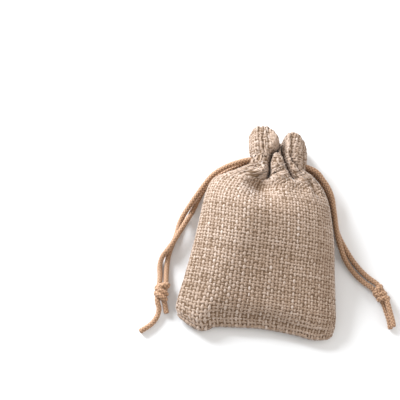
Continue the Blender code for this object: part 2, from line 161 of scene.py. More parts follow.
# Dents and creases of the stuffed front: a swell or a ridge has a negative depth. wide, below, above: how
# far it reaches to either side, down and up. turn: how many degrees it leans to the left.
DENT_COLUMNS = ("x", "up", "depth", "wide", "below", "above", "turn")
DENTS = (
    (-0.0078, 0.0616, 0.0068, 0.0066, 0.0046, 0.0060, -12.0),
    (-0.0035, 0.0565, 0.0014, 0.0085, 0.0045, 0.0070, -6.0),
    (-0.0074, 0.0700, -0.0018, 0.0028, 0.0034, 0.0056, -4.0),
    (-0.0115, 0.0810, -0.0010, 0.0034, 0.0060, 0.0060, 0.0),
    (-0.0150, 0.0640, -0.0010, 0.0032, 0.0070, 0.0070, 14.0),
    (-0.0008, 0.0803, 0.0026, 0.0018, 0.0022, 0.0022, 0.0),
    (0.0088, 0.0680, 0.0014, 0.0036, 0.0012, 0.0012, -4.0),
    (0.0105, 0.0640, 0.0012, 0.0048, 0.0050, 0.0050, -20.0),
    (-0.0215, 0.0540, -0.0008, 0.0060, 0.0080, 0.0080, 30.0),
    (-0.0140, 0.0380, -0.0013, 0.0075, 0.0300, 0.0300, -12.0),
    (0.0080, 0.0340, 0.0012, 0.0110, 0.0280, 0.0280, 8.0),
    (0.0180, 0.0640, 0.0026, 0.0015, 0.0048, 0.0048, 40.0),
    (-0.0120, 0.0080, 0.0006, 0.0110, 0.0050, 0.0050, -8.0),
    (0.0060, 0.0042, 0.0007, 0.0260, 0.0012, 0.0012, -2.0),
    (0.0000, 0.0010, 0.0010, 0.0300, 0.0028, 0.0028, 0.0),
    (0.0000, 0.0100, -0.0007, 0.0260, 0.0040, 0.0040, 0.0),
    (-0.0260, 0.0050, -0.0012, 0.0070, 0.0050, 0.0050, 10.0),
    (-0.0155, 0.0035, 0.0009, 0.0040, 0.0050, 0.0050, 35.0),
    (0.0260, 0.0090, -0.0006, 0.0060, 0.0070, 0.0070, 0.0),
)
# The drawn cloth puckers between its folds: small uneven gathers run up the neck, from here to the mouth.
PUCKER_FOOT = 0.0560
PUCKER_RISE = 0.0150
PUCKER_DEPTH = 0.0008
PUCKER_PITCH = 0.0036
PUCKER_STRAY = 0.0016  # how far a gather strays from its even place, and over what length
PUCKER_STRAY_PITCH = 0.0110
SEAM_GROOVE = 0.0007  # how far the cloth turns in at a side seam
SEAM_GROOVE_WIDTH = 0.0009
CORD_HOLE = 0.0016  # how much further it opens where the cords leave the hem
CORD_HOLE_TALL = 0.0024
CORD_HOLE_UP = 0.0750
STITCH_LINES = (0.0703, 0.0776)  # the two rows of stitches that hold the hem, below and above the cords
STITCH_TROUGH = 0.0003
STITCH_TROUGH_TALL = 0.0009

WARPS = 46  # yarns of a panel that run up the sack
WEFTS = 64  # yarns of a panel that run across it, from the bottom seam to the mouth
HEM_WEFTS = 9  # and those of its hem, on the inside
WEFT_PITCH = RIM / WEFTS
HEM_GAP = 0.00125  # from the middle of the outer layer to that of the hem's inner one
GATHER = 0.6  # how much closer the warps lie inside a fold
GATHER_DEPTH = 0.004  # that is this deep or deeper
CLOSER_RIGHT = 0.32  # how much closer they lie at the right side than in the middle
CLOSER_REACH = 0.030  # which is this far off
SLANT = 0.0027  # how far up the wefts have crept at the left side
SLANT_LEFT = -0.0350
SLANT_REACH = 0.0240  # how far in from there that fades out
SLANT_FADE = 0.0200  # how far from the bottom seam and from the cinch it comes in full
DENSE = 480  # points that a row of one panel is worked out on
BY_WARP = 8  # grid points from one warp to the next
BY_WEFT = 4  # grid rows from one weft to the next
RIM_STEPS = 5  # grid steps round the mouth's fold
BOTTOM_STEPS = 4  # grid steps from either panel down to the bottom seam
BOTTOM_TUCK = 0.0005  # how far the bottom seam is drawn in
SEWN_GAP = 0.00002  # points nearer than this are one, where the panels are sewn
FELT_THICKNESS = 0.0003  # of the ground
# Painted shade: the ground's dark browns stand for the shaded inside of the sack, seen through the gaps
# between the yarns.
GROUND_PAINTED_SHADE_COLOURS = ((0.30, (0.108, 0.062, 0.033)), (0.75, (0.225, 0.143, 0.085)))


def column(rows, names, name):
    """One named column of a table."""
    return np.array([row[names.index(name)] for row in rows], float)


def between(part, length, start, start_slope, end, end_slope):
    """A smooth way from one value to the next over this length, with these slopes at its ends."""
    near = (1 + 2 * part) * (1 - part) ** 2 * start + part * (1 - part) ** 2 * length * start_slope
    far = part**2 * (3 - 2 * part) * end + part**2 * (part - 1) * length * end_slope
    return near + far


def smooth_curve(at, places, values):
    """A smooth curve through a table's values, flat at a peak, so that it never overshoots them."""
    steps = np.diff(places)
    slopes = np.diff(values) / steps
    before, after = slopes[:-1], slopes[1:]
    turning = before * after <= 0
    mean = 2 * before * after / np.where(turning, 1, before + after)
    tangents = np.concatenate([slopes[:1], np.where(turning, 0, mean), slopes[-1:]])
    at = np.clip(at, places[0], places[-1])
    index = np.clip(np.searchsorted(places, at, side="right") - 1, 0, len(steps) - 1)
    part = (at - places[index]) / steps[index]
    ends = values[index], tangents[index], values[index + 1], tangents[index + 1]
    return between(part, steps[index], *ends)


def ease(amount):
    """A smooth step from 0 to 1."""
    amount = np.clip(amount, 0, 1)
    return amount * amount * (3 - 2 * amount)


def run_along(*coordinates):
    """The length so far along each row of points."""
    steps = np.sqrt(sum(np.diff(values, axis=1) ** 2 for values in coordinates))
    return np.concatenate([np.zeros((len(steps), 1)), np.cumsum(steps, axis=1)], axis=1)


def stray_of(edge, across):
    """How far an edge strays from level at these shares of the way across."""
    places, values = np.array(edge).T
    return smooth_curve(across, places, values)


def fold_depths(face, up, x, run):
    """How far the folds push the cloth in, at each point of each row."""
    pushed = np.zeros_like(x)
    for row in FOLDS:
        fold = dict(zip(FOLD_COLUMNS, row))
        if fold["face"] != face:
            continue
        rise = ease((up - fold["foot"]) / fold["rise"])
        past = np.clip((up - CINCH) / (RIM - CINCH), 0, 1)
        depth = rise * ease((fold["top"] - up) / FADE) * ((1 - past) * fold["cinch"] + past * fold["rim"])
        # A fold that starts at the first of the heights has no place of its own for its foot.
        skip = 0 if fold["foot"] < FOLD_HEIGHTS[0] else 1
        heights = np.array((fold["foot"], *FOLD_HEIGHTS)[skip:])
        course = smooth_curve(up, heights, np.array([fold[name] for name in FOLD_COURSE[skip:]]))
        middle = np.array([np.interp(*values) for values in zip(course, x, run)])
        spread = (FOOT_SPREAD - (FOOT_SPREAD - 1) * rise)[:, None]
        aside = run - middle[:, None]
        away = np.clip(np.abs(aside) / (np.where(aside < 0, fold["left"], fold["right"]) * spread), 0, 1)
        pushed = np.maximum(pushed, depth[:, None] * (1 - away) ** fold["sharp"])
    return pushed


def dent_depths(up, x):
    """How far the dents push the front in, or the swells out, at each point of each row."""
    pushed = np.zeros_like(x)
    for row in DENTS:
        dent = dict(zip(DENT_COLUMNS, row))
        turn = math.radians(dent["turn"])
        aside, above = x - dent["x"], up[:, None] - dent["up"]
        across = aside * math.cos(turn) + above * math.sin(turn)
        along = above * math.cos(turn) - aside * math.sin(turn)
        tall = np.where(along > 0, dent["above"], dent["below"])
        pushed += dent["depth"] * np.exp(-((across / dent["wide"]) ** 2) - (along / tall) ** 2)
    return pushed


def cloth_rows(face, up, under):
    """Rows of grid points across one panel at these heights, this deep under its crowns."""
    heights = column(SECTIONS, SECTION_COLUMNS, "up")
    size = {
        name: smooth_curve(up, heights, column(SECTIONS, SECTION_COLUMNS, name))[:, None]
        for name in SECTION_COLUMNS[1:]
    }
    turn = np.linspace(0, math.pi, DENSE)
    bulge = np.clip(np.sin(turn), 0, 1)
    x = (size["left"] + size["right"]) / 2 - (size["right"] - size["left"]) / 2 * np.cos(turn)
    if face > 0:
        z = size["side"] + (size["top"] - size["side"]) * bulge ** size["front"]
    else:
        deep = (1 + PRESSED) * (size["side"] - size["back"])
        z = np.maximum(size["back"], size["side"] - deep * bulge ** size["under"])
    run = run_along(x, z)
    along_x, along_z = np.gradient(x, axis=1), np.gradient(z, axis=1)
    step = np.hypot(along_x, along_z)
    out_x, out_z = -face * along_z / step, face * along_x / step

    folds = fold_depths(face, up, x, run)
    pushed = folds + (dent_depths(up, x) if face > 0 else 0)
    drawn = ease((up - PUCKER_FOOT) / PUCKER_RISE)[:, None]
    places = run + PUCKER_STRAY * np.sin(2 * math.pi * run / PUCKER_STRAY_PITCH)
    pushed += PUCKER_DEPTH * drawn * (0.5 + 0.5 * np.sin(2 * math.pi * places / PUCKER_PITCH))
    for line in STITCH_LINES:
        pushed += STITCH_TROUGH * np.exp(-(((up - line) / STITCH_TROUGH_TALL) ** 2))[:, None]
    pushed *= bulge**SEAM_HOLD
    hole = CORD_HOLE * np.exp(-(((up - CORD_HOLE_UP) / CORD_HOLE_TALL) ** 2))
    for from_seam in (run, run[:, -1:] - run):
        pushed += (SEAM_GROOVE + hole)[:, None] * np.exp(-((from_seam / SEAM_GROOVE_WIDTH) ** 2))
    across = run / run[:, -1:]
    mouth = MOUTH_FRONT if face > 0 else MOUTH_BACK
    slanted = ease(up / SLANT_FADE) * ease((CINCH - up) / SLANT_FADE)
    y = (
        up[:, None]
        + SLANT * slanted[:, None] * (1 - ease((x - SLANT_LEFT) / SLANT_REACH))
        + stray_of(BOTTOM_EDGE, across) * (1 - ease(up / BOTTOM_REACH))[:, None]
        + stray_of(mouth, across) * ease((up - RIM + MOUTH_REACH) / MOUTH_REACH)[:, None]
    )
    x, z = x - out_x * (pushed + under), z - out_z * (pushed + under)

    # The grid's columns keep to the yarns, which lie evenly along the cloth and closer in the folds.
    gathered = 1 + GATHER * np.clip(folds / GATHER_DEPTH, 0, 1)
    weight = gathered * (1 + CLOSER_RIGHT * np.clip(x / CLOSER_REACH, 0, 1))
    steps = np.hypot(np.diff(x, axis=1), np.diff(z, axis=1)) * (weight[:, 1:] + weight[:, :-1]) / 2
    yarns = np.concatenate([np.zeros((len(up), 1)), np.cumsum(steps, axis=1)], axis=1)
    marks = np.linspace(0, 1, WARPS * BY_WARP + 1)
    rows = [
        np.stack([np.interp(marks * place[-1], place, values[i]) for values in (x, y, z)], axis=1)
        for i, place in enumerate(yarns)
    ]
    return np.array(rows)


def whole_panel(face):
    """The grid of one panel: up its outside from the bottom seam, over the mouth's fold, down the hem."""
    outside = cloth_rows(face, np.arange(WEFTS * BY_WEFT + 1) * WEFT_PITCH / BY_WEFT, CLOTH_MIDDLE)
    down = RIM - np.arange(HEM_WEFTS * BY_WEFT + 1) * WEFT_PITCH / BY_WEFT
    inside = cloth_rows(face, down, CLOTH_MIDDLE + HEM_GAP)
    middle, half = (outside[-1] + inside[0]) / 2, (outside[-1] - inside[0]) / 2
    upward = np.linalg.norm(half, axis=1, keepdims=True) * (0, 1, 0)
    turns = np.arange(1, RIM_STEPS) * math.pi / RIM_STEPS
    rim = np.array([middle + half * math.cos(turn) + upward * math.sin(turn) for turn in turns])
    return np.concatenate([outside, rim, inside])


def close_bottom(front, back):
    """Brings the two panels' lowest rows round to one seam line."""
    middle = (front[BOTTOM_STEPS] + back[BOTTOM_STEPS]) / 2
    halves = front[BOTTOM_STEPS] - middle, back[BOTTOM_STEPS] - middle
    round_by = BOTTOM_STEPS * WEFT_PITCH / BY_WEFT
    for i in range(BOTTOM_STEPS):
        part = 1 - i / BOTTOM_STEPS
        down = round_by * math.sin(part * math.pi / 2) - BOTTOM_TUCK * part**4
        for panel, half in zip((front, back), halves):
            panel[i] = middle + half * math.cos(part * math.pi / 2) - np.array([0, down, 0])


front, back = whole_panel(1), whole_panel(-1)
close_bottom(front, back)
seams = (front[:, (0, -1)] + back[:, (0, -1)]) / 2
front[:, (0, -1)] = seams
back[:, (0, -1)] = seams
PANELS = {"front": (front + seam_middle, 1), "back": (back + seam_middle, -1)}


def add_piece(name, vertices, faces, material):
    """A smooth mesh object that rides on the sack."""
    mesh = bpy.data.meshes.new(name)
    mesh.from_pydata(vertices.tolist(), [], [face for group in faces for face in group.tolist()])
    mesh.shade_smooth()
    mesh.materials.append(material)
    piece = bpy.data.objects.new(name, mesh)
    bpy.context.scene.collection.objects.link(piece)
    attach(piece, "root")
    return piece


def feed(owner, node, inputs):
    """Gives the inputs of a material's or a world's node their numbers, colours or other nodes' outputs."""
    for name, value in inputs.items():
        if isinstance(value, bpy.types.NodeSocket):
            owner.node_tree.links.new(value, node.inputs[name])
        else:
            node.inputs[name].default_value = value


def new_material(name, inputs):
    """A material whose shader has these inputs."""
    material = bpy.data.materials.new(name)
    material.use_nodes = True
    feed(material, material.node_tree.nodes["Principled BSDF"], inputs)
    return material


def add_node(material, kind, inputs):
    node = material.node_tree.nodes.new(kind)
    feed(material, node, inputs)
    return node


def noise(material, inputs):
    """The output of a fine noise that keeps to the object."""
    place = add_node(material, "ShaderNodeTexCoord", {})
    texture = add_node(material, "ShaderNodeTexNoise", {"Vector": place.outputs["Object"], **inputs})
    return texture.outputs["Fac"]


def dress(material, value, colours, height, bump):
    """Colours a material by one output through a ramp's (place, colour) stops, and roughens it by another."""
    ramp = add_node(material, "ShaderNodeValToRGB", {"Fac": value})
    for i, (place, colour) in enumerate(colours):
        stop = ramp.color_ramp.elements[i] if i < 2 else ramp.color_ramp.elements.new(place)
        stop.position = place
        stop.color = (*colour, 1)
    rough = add_node(material, "ShaderNodeBump", {"Height": height, **bump})
    shader = material.node_tree.nodes["Principled BSDF"]
    feed(material, shader, {"Base Color": ramp.outputs["Color"], "Normal": rough.outputs["Normal"]})


# The ground's dark colour is painted shade, with a little fibre fluff on it.
def painted_shade_ground_material():
    material = new_material("burlap_ground_painted_shade", {"Base Color": (0.10, 0.06, 0.035, 1), "Roughness": 1.0})
    fluff = noise(material, {"Scale": 1400, "Detail": 3})
    dress(material, fluff, GROUND_PAINTED_SHADE_COLOURS, fluff, {"Distance": 0.0002, "Strength": 0.8})
    return material


def cloth_ground():
    """Both panels as one sheet, at one grid point in four, sewn along the sides and the bottom."""
    rows = [*range(0, len(front) - 1, BY_WEFT), len(front) - 1]
    columns = np.arange(0, WARPS * BY_WARP + 1, BY_WARP // 2)
    loops = []
    for row in rows:
        here = front[row, columns]
        there = back[row, columns[1:-1]][::-1]
        loops.append(np.concatenate([here, there]))
    around = len(loops[0])
    vertices = np.concatenate(loops) + seam_middle
    faces = []
    for i in range(len(rows) - 1):
        low = i * around + np.arange(around)
        low_next = i * around + (np.arange(around) + 1) % around
        faces.append(np.stack([low, low_next, low_next + around, low + around], axis=1))
    return vertices, faces


vertices, faces = cloth_ground()
cloth = add_piece("sack_burlap", vertices, faces, painted_shade_ground_material())
weld = cloth.modifiers.new("sewn_bottom", "WELD")
weld.merge_threshold = SEWN_GAP
felt = cloth.modifiers.new("felt", "SOLIDIFY")
felt.thickness = FELT_THICKNESS
felt.offset = 0
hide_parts("sack_cloth")


# -------------------------------------------------------------------------------------------- the yarns
# Burlap is a plain weave of thick, uneven yarns, spun from coarse fibre: each runs over one crossing yarn
# and under the next. The warps run up the sack and over the mouth into the hem, and the wefts run across
# it from seam to seam.

# along: 0 for yarns that run up the grid's rows, 1 for those that run across its columns. half_width: half
# of the usual width. margin: the least room to the grid's edge, in grid points. stray: how far a yarn lies
# off its even place, in grid points. stray_along: how far it wanders along its length, turning every
# stray_apart of its own points. swell, swell_along: the same two for its width, as shares of it.
# tone: the usual shade.
YARN_COLUMNS = (
    "along", "half_width", "margin", "stray", "stray_along", "stray_apart", "swell", "swell_along", "tone",
)
YARNS = {
    "warps": (0, 0.00064, 2.4, 0.60, 0.70, 9, 0.12, 0.16, 0.55),
    "wefts": (1, 0.00053, 0.0, 0.28, 0.40, 10, 0.14, 0.18, 0.46),
}
SWELL_APART = 6  # how many of its points apart the turns of a yarn's width are
THINNEST = 0.00026  # the least half width of a yarn, and the most
WIDEST = 0.00080
OVER_SWELL = 0.08  # how much wider than usual a yarn is on top of another, and narrower under one
FULLEST = 0.78  # the most of the room between its neighbours that a yarn fills
YARN_HALF_THICKNESS = 0.00021
YARN_HALF_WIDTH = 0.00053  # the half width that goes with that half thickness
THICK_SHARE = 0.4  # how much of a yarn's thickness follows its width
YARN_RISE = 0.00012  # how far a yarn's own middle swings from the middle of the cloth
YARN_SIDES = 6
POINTS_BY_CROSSING = 4  # points of a yarn from one crossing to the next
YARN_SEED = 40

OWN_TONE = 0.045  # how much yarns differ in shade from one another
TONE_PATCHES = ((0.045, 16), (0.035, 3))  # how much one changes along itself, and over how many points
PALE_TONE = 0.10  # how much paler it gets where a slow random line rises above PALE_FROM
PALE_FROM = 0.8
PALE_APART = 60  # how many points apart that line's turns are
FIBRE_TONE = 1.0  # how much the fibres show in the shade
BLOTCH_TONE = 0.16  # how much blotches across many yarns show in it
TONE_SHIFT = 0.65  # taken off the sum of all these, to meet the ramp
YARN_SHADER = {
    "Base Color": (0.5, 0.36, 0.25, 1),
    "Roughness": 0.66,
    "Sheen Weight": 0.30,
    "Sheen Tint": (0.88, 0.94, 1.0, 1),
    "Sheen Roughness": 0.6,
}
YARN_COLOURS = (
    (0.0, (0.12, 0.062, 0.030)),
    (0.28, (0.27, 0.168, 0.100)),
    (0.55, (0.43, 0.312, 0.232)),
    (0.80, (0.605, 0.50, 0.430)),
    (1.0, (0.77, 0.69, 0.622)),
)
LAST_CELL = 1.001  # how far from a grid's size its last place lies, just inside its last cell
TINY = 1e-12


def unit(vectors):
    return vectors / np.maximum(np.linalg.norm(vectors, axis=-1, keepdims=True), TINY)


def outward(grid, face):
    """The grid's normals, away from the stuffing outside and into the mouth on the hem."""
    return unit(np.cross(np.gradient(grid, axis=1), np.gradient(grid, axis=0)) * face)


def grid_at(grid, rows, columns):
    """Values of the grid at these places between its rows and columns."""
    rows = np.clip(rows, 0, grid.shape[0] - LAST_CELL)
    columns = np.clip(columns, 0, grid.shape[1] - LAST_CELL)
    low, left = rows.astype(int), columns.astype(int)
    up, right = (rows - low)[..., None], (columns - left)[..., None]
    lower = grid[low, left] * (1 - right) + grid[low, left + 1] * right
    upper = grid[low + 1, left] * (1 - right) + grid[low + 1, left + 1] * right
    return lower * (1 - up) + upper * up


def wander(rng, count, points, apart):
    """For each yarn a smooth random line of that many points, with new turns this many points apart."""
    knots = rng.normal(size=(count, int(points / apart) + 3))
    at = np.arange(points) / apart
    index = at.astype(int)
    part = ease(at - index)
    return knots[:, index] * (1 - part) + knots[:, index + 1] * part


def varied(rng, count, points, own, along, apart):
    """A random amount of each yarn's own, and one that wanders along its length."""
    return own * rng.normal(size=(count, 1)) + along * wander(rng, count, points, apart)


def yarn_tones(rng, count, points):
    """How much lighter or darker each yarn is along its length, with pale stretches here and there."""
    pale = PALE_TONE * np.clip(wander(rng, count, points, PALE_APART) - PALE_FROM, 0, None)
    patchy = sum(amount * wander(rng, count, points, apart) for amount, apart in TONE_PATCHES)
    return OWN_TONE * rng.normal(size=(count, 1)) + patchy + pale


def lay_yarns(rng, yarn, grid, normals):
    """The lines, normals, half widths and shades of one panel's warps or wefts, a row for each yarn."""
    along, across = yarn["along"], 1 - yarn["along"]
    last, pitch = (grid.shape[0] - 1, grid.shape[1] - 1), (BY_WEFT, BY_WARP)
    count = last[across] // pitch[across]
    points = last[along] * POINTS_BY_CROSSING // pitch[along] + 1
    number = np.arange(count)[:, None]
    ahead = np.broadcast_to(np.linspace(0, last[along], points), (count, points))
    stray = varied(rng, count, points, yarn["stray"], yarn["stray_along"], yarn["stray_apart"])
    aside = np.clip((number + 0.5) * pitch[across] + stray, yarn["margin"], last[across] - yarn["margin"])
    rows, columns = (aside, ahead) if along else (ahead, aside)

    # Where a warp is on top of the crossing weft, the weft is under it, and the other way round.
    on_top = np.cos(math.pi * (ahead / pitch[along] - 0.5 + number)) * (-1 if along else 1)
    ups = grid_at(normals, rows, columns)
    lines = grid_at(grid, rows, columns) + ups * (YARN_RISE * on_top)[..., None]
    swell = 1 + varied(rng, count, points, yarn["swell"], yarn["swell_along"], SWELL_APART)
    room = np.linalg.norm(np.gradient(grid, axis=across), axis=2, keepdims=True) * pitch[across]
    half = np.minimum(yarn["half_width"] * swell, FULLEST * grid_at(room, rows, columns)[..., 0] / 2)
    half = np.clip(half, THINNEST, WIDEST) * (1 + OVER_SWELL * on_top)
    return lines, ups, half, yarn["tone"] + yarn_tones(rng, count, points)


def tube_mesh(lines, normals, half_widths, half_thicks):
    """Vertices and faces of a tube along each line, flat across its normals, with closed ends."""
    along = unit(np.gradient(lines, axis=1))
    normals = unit(normals - (normals * along).sum(-1, keepdims=True) * along)
    sideways = np.cross(along, normals)
    turns = np.arange(YARN_SIDES) * 2 * math.pi / YARN_SIDES
    rings = (
        lines[:, :, None]
        + sideways[:, :, None] * (half_widths[:, :, None] * np.cos(turns))[..., None]
        + normals[:, :, None] * (half_thicks[:, :, None] * np.sin(turns))[..., None]
    )
    index = np.arange(lines.shape[0] * lines.shape[1] * YARN_SIDES).reshape(*lines.shape[:2], YARN_SIDES)
    beside = np.roll(index, -1, axis=2)
    walls = np.stack([index[:, :-1], index[:, 1:], beside[:, 1:], beside[:, :-1]], axis=-1)
    ends = np.concatenate([index[:, 0], index[:, -1, ::-1]])
    return rings.reshape(-1, 3), [walls.reshape(-1, 4), ends]


def give_tones(piece, tones):
    """Stores the shade of each of a piece's vertices, for its material to read."""
    shade = piece.data.attributes.new("tone", "FLOAT", "POINT")
    shade.data.foreach_set("value", tones.astype(np.float32))


def stored_tone(material):
    tone = add_node(material, "ShaderNodeAttribute", {})
    tone.attribute_name = "tone"
    return tone.outputs["Fac"]


def mixed(material, operation, *values):
    """The outcome of a sum of numbers and other nodes' outputs."""
    node = add_node(material, "ShaderNodeMath", {})
    node.operation = operation
    feed(material, node, dict(enumerate(values)))
    return node.outputs["Value"]


def yarn_material():
    material = new_material("burlap_yarn", YARN_SHADER)
    fibres = noise(material, {"Scale": 1500, "Detail": 4, "Roughness": 0.7})
    blotches = noise(material, {"Scale": 110, "Detail": 2})
    value = mixed(material, "MULTIPLY_ADD", fibres, FIBRE_TONE, stored_tone(material))
    value = mixed(material, "MULTIPLY_ADD", blotches, BLOTCH_TONE, value)
    value = mixed(material, "SUBTRACT", value, TONE_SHIFT)
    dress(material, value, YARN_COLOURS, fibres, {"Distance": 0.00012, "Strength": 0.6})
    return material


yarn_finish = yarn_material()
for seed, (side, (grid, face)) in enumerate(PANELS.items(), YARN_SEED):
    rng = np.random.default_rng(seed)
    for kind, row in YARNS.items():
        lines, normals, half, tones = lay_yarns(rng, dict(zip(YARN_COLUMNS, row)), grid, outward(grid, face))
        thick = YARN_HALF_THICKNESS * (1 - THICK_SHARE + THICK_SHARE * half / YARN_HALF_WIDTH)
        vertices, faces = tube_mesh(lines, normals, half, np.minimum(half, thick))
        piece = add_piece(side + "_" + kind, vertices, faces, yarn_finish)
        give_tones(piece, np.repeat(tones.ravel(), YARN_SIDES))


# ----------------------------------------------------------------------------------- the hem's stitches
# The mouth's folded edge is held down by two rows of running stitches in a thin thread of the yarns' own
# colour, one below the cords and one above. The thread is sewn through both layers of each panel.

STITCH = 0.0023  # length of a stitch, and of the gap to the next
STITCH_GAP = 0.0011
STITCH_POINTS = 6
THREAD_HALF = 0.00019
THREAD_TONE = 0.62
STITCH_ABOVE = 0.00035  # how far the thread lies above the middle of the cloth


def run_of(points):
    """The length of a line up to each of its points."""
    return np.concatenate([[0], np.cumsum(np.linalg.norm(np.diff(points, axis=0), axis=1))])


def stitches(grid, face):
    """The lines and normals of the stitches of one panel."""
    outwards = outward(grid, face)
    lines, normals = [], []
    for line in STITCH_LINES:
        row = line / WEFT_PITCH * BY_WEFT
        columns = np.arange(grid.shape[1])
        run = run_of(grid_at(grid, np.full(len(columns), row), columns))
        rows = np.full(STITCH_POINTS, row)
        height = STITCH_ABOVE + THREAD_HALF * (np.sin(np.linspace(0, math.pi, STITCH_POINTS)) - 1)
        for begin in np.arange(STITCH_GAP, run[-1] - STITCH, STITCH + STITCH_GAP):
            places = np.interp(begin + STITCH * np.linspace(0, 1, STITCH_POINTS), run, columns)
            up = grid_at(outwards, rows, places)
            lines.append(grid_at(grid, rows, places) + up * height[:, None])
            normals.append(up)
    return np.array(lines), np.array(normals)


sewn = [stitches(grid, face) for grid, face in PANELS.values()]
thread_lines, thread_normals = (np.concatenate(both) for both in zip(*sewn))
thread_half = np.full(thread_lines.shape[:2], THREAD_HALF)
vertices, faces = tube_mesh(thread_lines, thread_normals, thread_half, thread_half)
thread = add_piece("hem_stitches", vertices, faces, yarn_finish)
give_tones(thread, np.full(len(vertices), THREAD_TONE))


# ---------------------------------------------------------------------------------------- the drawcords
# Two thin cords, round braids of tan yarn, run through the hem, and one comes out at either side seam. Each
# has its two ends brought together down the sack's flank and tied in an overhand knot, with cut tails.

CORD_DIAMETER = 0.0024
CORD_FLOOR = 0.0013  # the height of a cord's middle where it lies on the surface

# Where the middle of each cord runs, from the seam to its knot: x, up and height.
LEFT_UPPER = (
    (-0.0143, 0.0751, 0.0100), (-0.0185, 0.0735, 0.0096), (-0.0224, 0.0716, 0.0088),
    (-0.0258, 0.0695, 0.0077), (-0.0286, 0.0671, 0.0066), (-0.0315, 0.0628, 0.0053),
    (-0.0340, 0.0583, 0.0044), (-0.0360, 0.0545, 0.0037), (-0.0376, 0.0513, 0.0029),
    (-0.0390, 0.0484, 0.0020), (-0.0401, 0.0451, CORD_FLOOR), (-0.0410, 0.0387, CORD_FLOOR),
    (-0.0424, 0.0331, CORD_FLOOR), (-0.0430, 0.0292, CORD_FLOOR), (-0.0431, 0.0247, CORD_FLOOR),
    (-0.0428, 0.0213, 0.0016), (-0.0424, 0.0172, 0.0023),
)
LEFT_LOWER = (
    (-0.0145, 0.0749, 0.0069), (-0.0186, 0.0726, 0.0059), (-0.0226, 0.0702, 0.0048),
    (-0.0262, 0.0678, 0.0038), (-0.0293, 0.0646, 0.0027), (-0.0316, 0.0612, 0.0016),
    (-0.0332, 0.0576, CORD_FLOOR), (-0.0343, 0.0542, CORD_FLOOR), (-0.0352, 0.0512, CORD_FLOOR),
    (-0.0361, 0.0486, 0.0021), (-0.0375, 0.0452, 0.0035), (-0.0388, 0.0420, 0.0040),
    (-0.0402, 0.0387, 0.0041), (-0.0419, 0.0348, 0.0040), (-0.0438, 0.0313, 0.0038),
    (-0.0454, 0.0286, 0.0027), (-0.0461, 0.0260, 0.0015), (-0.0461, 0.0236, CORD_FLOOR),
    (-0.0456, 0.0209, 0.0016), (-0.0452, 0.0171, 0.0023),
)
RIGHT_UPPER = (
    (0.0131, 0.0752, 0.0100), (0.0169, 0.0739, 0.0094), (0.0202, 0.0710, 0.0081),
    (0.0231, 0.0678, 0.0067), (0.0251, 0.0643, 0.0054), (0.0262, 0.0605, 0.0046),
    (0.0272, 0.0568, 0.0042), (0.0282, 0.0527, 0.0041), (0.0293, 0.0487, 0.0041),
    (0.0305, 0.0453, 0.0039), (0.0320, 0.0420, 0.0032), (0.0339, 0.0386, 0.0021),
    (0.0364, 0.0354, 0.0014), (0.0400, 0.0318, CORD_FLOOR), (0.0440, 0.0289, 0.0015),
    (0.0476, 0.0268, 0.0022),
)
RIGHT_LOWER = (
    (0.0132, 0.0750, 0.0069), (0.0168, 0.0732, 0.0057), (0.0200, 0.0707, 0.0042),
    (0.0227, 0.0676, 0.0026), (0.0244, 0.0646, 0.0016), (0.0258, 0.0612, CORD_FLOOR),
    (0.0270, 0.0573, CORD_FLOOR), (0.0282, 0.0533, CORD_FLOOR), (0.0297, 0.0494, CORD_FLOOR),
    (0.0316, 0.0462, CORD_FLOOR), (0.0337, 0.0432, CORD_FLOOR), (0.0359, 0.0403, CORD_FLOOR),
    (0.0382, 0.0376, CORD_FLOOR), (0.0415, 0.0344, CORD_FLOOR), (0.0452, 0.0316, 0.0015),
    (0.0492, 0.0291, 0.0022),
)
# The same for the tails, from the knot to the cut end.
LEFT_LONG_TAIL = (
    (-0.0448, 0.0079, 0.0027), (-0.0438, 0.0054, 0.0021), (-0.0439, 0.0026, 0.0015),
    (-0.0449, 0.0000, CORD_FLOOR), (-0.0465, -0.0023, CORD_FLOOR), (-0.0486, -0.0042, CORD_FLOOR),
    (-0.0507, -0.0060, CORD_FLOOR),
)
LEFT_SHORT_TAIL = (
    (-0.0419, 0.0087, 0.0021), (-0.0410, 0.0059, 0.0015), (-0.0402, 0.0036, CORD_FLOOR),
)
RIGHT_LONG_TAIL = (
    (0.0548, 0.0208, 0.0039), (0.0559, 0.0182, 0.0038), (0.0570, 0.0154, 0.0038),
    (0.0580, 0.0128, 0.0038), (0.0586, 0.0106, 0.0038),
)
RIGHT_SHORT_TAIL = (
    (0.0535, 0.0203, 0.0016), (0.0547, 0.0178, CORD_FLOOR), (0.0560, 0.0150, CORD_FLOOR),
    (0.0570, 0.0123, CORD_FLOOR), (0.0575, 0.0100, CORD_FLOOR),
)

# name: where the cord starts inside the hem, its strand, its tail, its length and the solids it stands for.
CORDS = {
    "left_cord_outer": ((-0.0122, 0.0756, 0.0100), LEFT_UPPER, LEFT_SHORT_TAIL, 0.087,
                        ("left_cord_upper", "left_tail_short")),
    "left_cord_inner": ((-0.0124, 0.0754, 0.0072), LEFT_LOWER, LEFT_LONG_TAIL, 0.0995,
                        ("left_cord_lower", "left_tail_long")),
    "right_cord_outer": ((0.0108, 0.0757, 0.0100), RIGHT_UPPER, RIGHT_SHORT_TAIL, 0.086,
                         ("right_cord_upper", "right_tail_short")),
    "right_cord_inner": ((0.0110, 0.0755, 0.0072), RIGHT_LOWER, RIGHT_LONG_TAIL, 0.085,
                         ("right_cord_lower", "right_tail_long")),
}
CORD_SIDES = 30
CORD_RING_GAP = 0.00018  # from one ring of its mesh to the next
ROUTE_STEPS = 60  # steps worked out for each point of a route, before the rings are spaced evenly
ANY_WAY = (0.31, 0.17, 0.94)  # no cord starts out this way
CORD_END_ROUND = 0.0004  # how far from its cut end a cord starts to narrow
CORD_END_LOST = 0.5  # the share of its section that it has lost at the end
BRAID_STRANDS = 4  # bundles that wind each way round the cord
